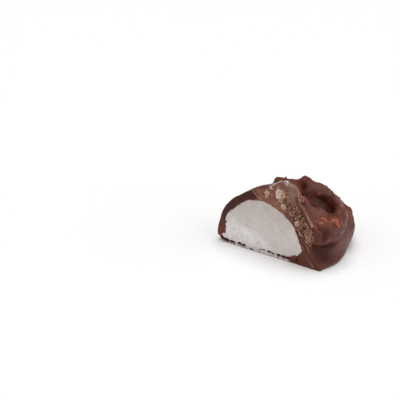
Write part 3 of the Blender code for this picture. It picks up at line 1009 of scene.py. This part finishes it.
def make_small_crisps(material):
    """Each small crisp as four lumps that overlap."""
    crumbs = Crumbs("small_crisps", 21)
    for u, z, size, colour in SMALL_CRISPS:
        for _ in range(4):
            shift_u, shift_z = (crumbs.rng.uniform(-0.35, 0.35) * size for _ in range(2))
            place = on_cut(u + shift_u, coat_relief(u, z) + 0.1 * size, z + shift_z)
            crumbs.add(place, size * crumbs.rng.uniform(0.45, 0.8), colour, (1.3, 0.8, 0.8))
    crumbs.finish(material)


# Reddish crumbs on the outside: where, from the middle of the cut's foot, and size in millimetres
OUTER_CRUMBS = (
    (18.0, 5.2, 17.4, 1.0),
    (17.6, 4.2, 17.2, 0.7),
    (19.2, 5.2, 17.0, 1.1),
    (18.6, 5.6, 17.5, 1.0),
    (19.9, 5.3, 16.6, 1.0),
    (19.2, 2.6, 16.6, 1.2),
    (21.2, 7.0, 16.4, 1.6),
    (21.9, 7.4, 16.0, 1.8),
    (22.7, 7.4, 14.9, 1.6),
    (22.7, 9.5, 15.5, 0.9),
    (23.6, 9.4, 13.4, 0.7),
    (15.0, 6.7, 25.2, 0.9),
    (18.1, 13.6, 20.5, 0.9),
    (18.6, 13.9, 20.1, 0.7),
    (17.4, 0.5, 10.4, 0.8),
    (16.4, 6.0, 19.8, 0.7),
)

# Crumbs above this size are bright
BRIGHT_SIZE = 0.95

# Strays lie on the topping, well behind the cut
STRAY_CRUMBS = 60
STRAY_SPANS = ((-14, 24), (6, 36), (6, 30))
STRAY_DEPTH = 14 * MM


def crumb_cluster(crumbs, surface, normal, size, lumps, colours):
    """A few small irregular lumps, sunk into the chocolate round a point on it."""
    rng = crumbs.rng
    side = normal.orthogonal().normalized()
    other = normal.cross(side)
    for _ in range(lumps):
        away = side * rng.uniform(-0.3, 0.3) + other * rng.uniform(-0.3, 0.3)
        part = size * rng.uniform(0.6, 0.85)
        centre = surface + (away * size - normal * 0.26 * part) * MM
        colour = rng.choice(colours)
        crumbs.add(centre, part, colour, (1.4, 1.0, 0.7), crumbs.turn(away, 0.5), roughness=0.7)


def make_outer_crumbs(coat_tree, topping_tree, shell_tree, material):
    """Reddish crumbs on the outside: those that the photo shows, and strays over the topping."""
    crumbs = Crumbs("outer_crumbs", 31)
    rng = crumbs.rng
    bright = (CRUMB_GOLD, CRUMB_ORANGE, CRUMB_ORANGE, mix(CRUMB_ORANGE, CRUMB_RED, 0.6))
    dull = (mix(CRUMB_ORANGE, CRUMB_RED, 0.7), CRUMB_RED)
    for u, v, z, size in OUTER_CRUMBS:
        surface, normal, _, _ = coat_tree.find_nearest(on_cut(u, v, z))
        crumb_cluster(crumbs, surface, normal, size, 4, bright if size > BRIGHT_SIZE else dull)
    made = 0
    while made < STRAY_CRUMBS:
        far = on_cut(*(rng.uniform(*span) for span in STRAY_SPANS))
        surface, normal, _, _ = coat_tree.find_nearest(far)
        near_topping = topping_tree.find_nearest(surface)[3] < shell_tree.find_nearest(surface)[3]
        if not near_topping or normal.z < -0.1 or surface.y < CUT_FOOT.y + STRAY_DEPTH:
            continue
        crumb_cluster(crumbs, surface, normal, rng.uniform(0.5, 1.0), 3, dull)
        made += 1
    crumbs.finish(material)


# Flakes torn up along the cut's right edge: u, v, z and length in millimetres
FLAKES = (
    (11.3, -0.3, 26.6, 1.1),
    (11.7, -0.28, 26.1, 1.3),
    (12.2, -0.28, 25.6, 1.4),
    (12.6, -0.2, 25.2, 1.5),
    (12.0, -0.3, 25.1, 1.3),
    (12.4, -0.3, 24.6, 1.4),
    (12.8, -0.24, 24.1, 1.4),
    (13.1, -0.24, 24.8, 1.3),
    (13.2, -0.22, 24.0, 1.3),
    (12.5, -0.28, 23.6, 1.2),
    (17.3, 0.0, 13.6, 1.1),
    (17.6, 0.0, 12.6, 1.0),
    (17.0, -0.1, 14.6, 1.0),
)
SHREDS_EACH = 8
FLAKE_REACH = (0.4, 0.15, 0.4)
FLAKE_GRAIN = (0.8, 0.0, 0.5)
FLAKE_COLOURS = (FLAKE_RED, LIP_PINK, LIP_PINK, FLAKE_LIGHT, FLAKE_LIGHT, FLAKE_LIGHT, DARK_CUT)

# Single flakes: place, length, shape against that, the way it lies and its colour
LONE_FLAKES = (
    ((14.0, 0.8, 24.3), 3.9, (1.0, 0.36, 0.3), (0.6, 0.25, -0.75), FLAKE_RED),
    ((13.7, 0.4, 24.7), 3.4, (1.0, 0.2, 0.2), (0.6, 0.25, -0.75), LIP_PINK),
    ((5.0, 1.2, 29.5), 1.9, (1.0, 0.8, 0.6), (1.0, 0.0, 0.4), FLAKE_RED),
    ((5.3, 1.2, 30.1), 1.5, (1.0, 0.7, 0.5), (0.5, 0.0, 1.0), FLAKE_RED),
    ((5.6, 1.2, 30.6), 1.1, (1.0, 0.5, 0.4), (0.4, 0.0, 1.0), FLAKE_RED),
    ((7.4, -0.1, 17.9), 1.5, (1.0, 0.4, 0.3), (-1.0, 0.0, 0.3), CHIP_RED),
)


def make_flakes(material):
    """Thin shreds of chocolate, in a stack with dark gaps where the knife tore it."""
    flakes = Crumbs("torn_flakes", 41)
    rng = flakes.rng
    for u, v, z, length in FLAKES:
        for _ in range(SHREDS_EACH):
            shift = [rng.uniform(-reach, reach) for reach in FLAKE_REACH]
            colour = rng.choice(FLAKE_COLOURS)
            place = on_cut(u + shift[0], v + shift[1], z + shift[2])
            turn = flakes.turn(FLAKE_GRAIN, 0.8)
            size = length * rng.uniform(0.5, 0.85)
            flakes.add(place, size, colour, (1.0, 0.5, 0.35), turn, roughness=0.6)
    for place, length, shape, direction, colour in LONE_FLAKES:
        flakes.add(on_cut(*place), length, colour, shape, flakes.turn(direction, 0.0), 0.45, 3)
    flakes.finish(material)


# The thin lip pulled up along the cut's right edge: u, v, z and radius in millimetres
TORN_LIP = (
    (12.6, -0.05, 23.2, 0.14),
    (13.3, -0.12, 22.2, 0.2),
    (14.2, -0.12, 21.0, 0.2),
    (15.0, -0.15, 19.7, 0.22),
    (15.8, -0.15, 18.3, 0.2),
    (16.6, -0.12, 16.9, 0.18),
    (17.2, -0.05, 15.6, 0.14),
)
LIP_BEADS = 90


def lip_colour(place):
    return mix(LIP_PINK, CUT_CHOCOLATE, 0.2 + 0.7 * grain(place, 1.2 * MM, 2.0))


def make_lip(material):
    """A ragged, paler thread of chocolate."""
    bm = bmesh.new()
    spans = len(TORN_LIP) - 1
    for i in range(LIP_BEADS):
        place = i / (LIP_BEADS - 1) * spans
        k = min(int(place), spans - 1)
        u, v, z, radius = mix(TORN_LIP[k], TORN_LIP[k + 1], place - k)
        wander = 0.14 * grain((i * 0.2, 0.0, 0.0), 1.0, 3.0)
        radius *= 1 + 0.35 * grain((i * 0.33, 0.0, 0.0), 1.0, 8.0)
        centre = on_cut(u + wander, v + wander, z)
        rough_ball(bm, centre, Vector((radius, 2.0 * radius, radius)) * MM, i, 0.2)
    obj = object_from("torn_lip", bm)
    remesh(obj, LIP_VOXEL, 1)
    obj.data.materials.append(material)
    colour_points(obj, lip_colour)
    place_piece(obj)


# Marshmallow smeared over the top edge of the cut, as a path of (u, v, z, reach) in millimetres
TOP_SMEAR = (
    (0.0, 1.4, 26.6, 1.2),
    (1.4, 1.2, 27.8, 1.3),
    (2.8, 1.1, 28.5, 1.3),
    (4.2, 1.2, 29.1, 1.3),
    (5.4, 1.0, 29.4, 1.5),
    (6.4, 0.6, 29.4, 1.6),
    (6.9, 0.1, 29.0, 1.3),
)
FILM_VOXEL = 0.12 * MM

# Millimetres
FILM_THICKNESS = 0.26
FILM_SINKS = 0.12


def smear_colour(place):
    return mix(SMEAR_LILAC, SMEAR_WHITE, smooth(0.35 + grain(place, 1.1 * MM, 3.0)))


def make_top_smear(coat, material):
    """A thin greyish film on the coat: the coat's own skin near a path, lifted, its edge sunk in."""
    bm = bmesh.new()
    bm.from_mesh(coat.data)
    rise = {}
    for vertex in bm.verts:
        place = to_cut(vertex.co)
        share = reach_share(TOP_SMEAR, place) + 0.12 * grain(place, 0.8, 4.0)
        share += 0.08 * grain(place, 0.4, 5.0)
        rise[vertex] = smooth((share - 0.3) / 0.35)
    bare = [face for face in bm.faces if max(rise[vertex] for vertex in face.verts) <= 0.0]
    bmesh.ops.delete(bm, geom=bare, context="FACES")
    bm.normal_update()
    moves = [(v, v.normal * (FILM_THICKNESS * rise[v] - FILM_SINKS) * MM) for v in bm.verts]
    for vertex, move in moves:
        vertex.co += move
    obj = object_from("marshmallow_smear", bm)
    obj.data.materials.clear()
    thicken = obj.modifiers.new("thicken", "SOLIDIFY")
    thicken.thickness = FILM_THICKNESS * MM
    thicken.offset = -1.0
    bake(obj)
    remesh(obj, FILM_VOXEL, 1)
    obj.data.materials.append(material)
    colour_points(obj, smear_colour)
    place_piece(obj)


def make_floor():
    bm = bmesh.new()
    bmesh.ops.create_grid(bm, x_segments=1, y_segments=1, size=FLOOR_HALF)
    floor = object_from("floor", bm)
    n = Nodes("floor")
    n.set("Base Color", (0.9, 0.9, 0.9, 1.0))
    n.set("Roughness", 0.9)
    n.set("Specular IOR Level", 0.1)
    floor.data.materials.append(n.material)


def make_camera():
    """The photograph's view."""
    azimuth, elevation = math.radians(VIEW_AZIMUTH), math.radians(VIEW_ELEVATION)
    flat = math.cos(elevation)
    back = Vector((math.sin(azimuth) * flat, -math.cos(azimuth) * flat, math.sin(elevation)))
    right = Vector((math.cos(azimuth), math.sin(azimuth), 0.0))
    up = back.cross(right)
    metres_per_pixel = MM / PIXELS_PER_MM
    across = (CUT_FOOT_PIXEL[0] - PICTURE_SIZE / 2) * metres_per_pixel
    down = (CUT_FOOT_PIXEL[1] - PICTURE_SIZE / 2) * metres_per_pixel
    target = CUT_FOOT - right * across + up * down
    distance = PICTURE_SIZE * metres_per_pixel * LENS / SENSOR
    data = bpy.data.cameras.new("camera")
    data.lens = LENS
    data.sensor_width = SENSOR
    data.clip_start = 0.01
    camera = new_object("camera", data)
    camera.location = target + back * distance
    camera.rotation_mode = "QUATERNION"
    camera.rotation_quaternion = (-back).to_track_quat("-Z", "Y")
    bpy.context.scene.camera = camera


def make_light():
    """A wide soft light above, a weaker one from the right, and a pale room."""
    for name, energy, angle, comes_from in SOFT_LIGHTS:
        sun = bpy.data.lights.new(name, "SUN")
        sun.energy = energy
        sun.angle = math.radians(angle)
        lamp = new_object(name, sun)
        lamp.rotation_mode = "QUATERNION"
        lamp.rotation_quaternion = Vector(comes_from).to_track_quat("Z", "Y")
    world = bpy.data.worlds.new("room")
    bpy.context.scene.world = world
    world.use_nodes = True
    background = world.node_tree.nodes["Background"]
    background.inputs["Color"].default_value = ROOM_COLOUR
    background.inputs["Strength"].default_value = ROOM_LIGHT
    bpy.context.scene.view_settings.view_transform = "Standard"


def main():
    make_camera()
    make_light()
    make_floor()
    shell_tree = node_tree(("shell",))
    topping_tree = node_tree(("topping",))
    coat = make_coat(shell_tree, topping_tree, chocolate_outside(), chocolate_cut())
    colour_coat(coat, shell_tree, topping_tree)
    place_piece(coat, ("shell", "topping"))
    soft_white = marshmallow_material()
    core = make_marshmallow(soft_white)
    place_piece(core, ("marshmallow",))
    crisp = crumb_material("toasted_crisp", 0.8, 0.15)
    crumb = crumb_material("chocolate_crumb", 0.6, 0.05)
    make_crisps(crisp)
    make_small_crisps(crisp)
    scatter_crunch(crumb)
    coat_bm = bmesh.new()
    coat_bm.from_mesh(coat.data)
    coat_tree = BVHTree.FromBMesh(coat_bm)
    coat_bm.free()
    make_outer_crumbs(coat_tree, topping_tree, shell_tree, crumb)
    make_flakes(crumb)
    make_lip(crumb)
    make_top_smear(coat, soft_white)


main()
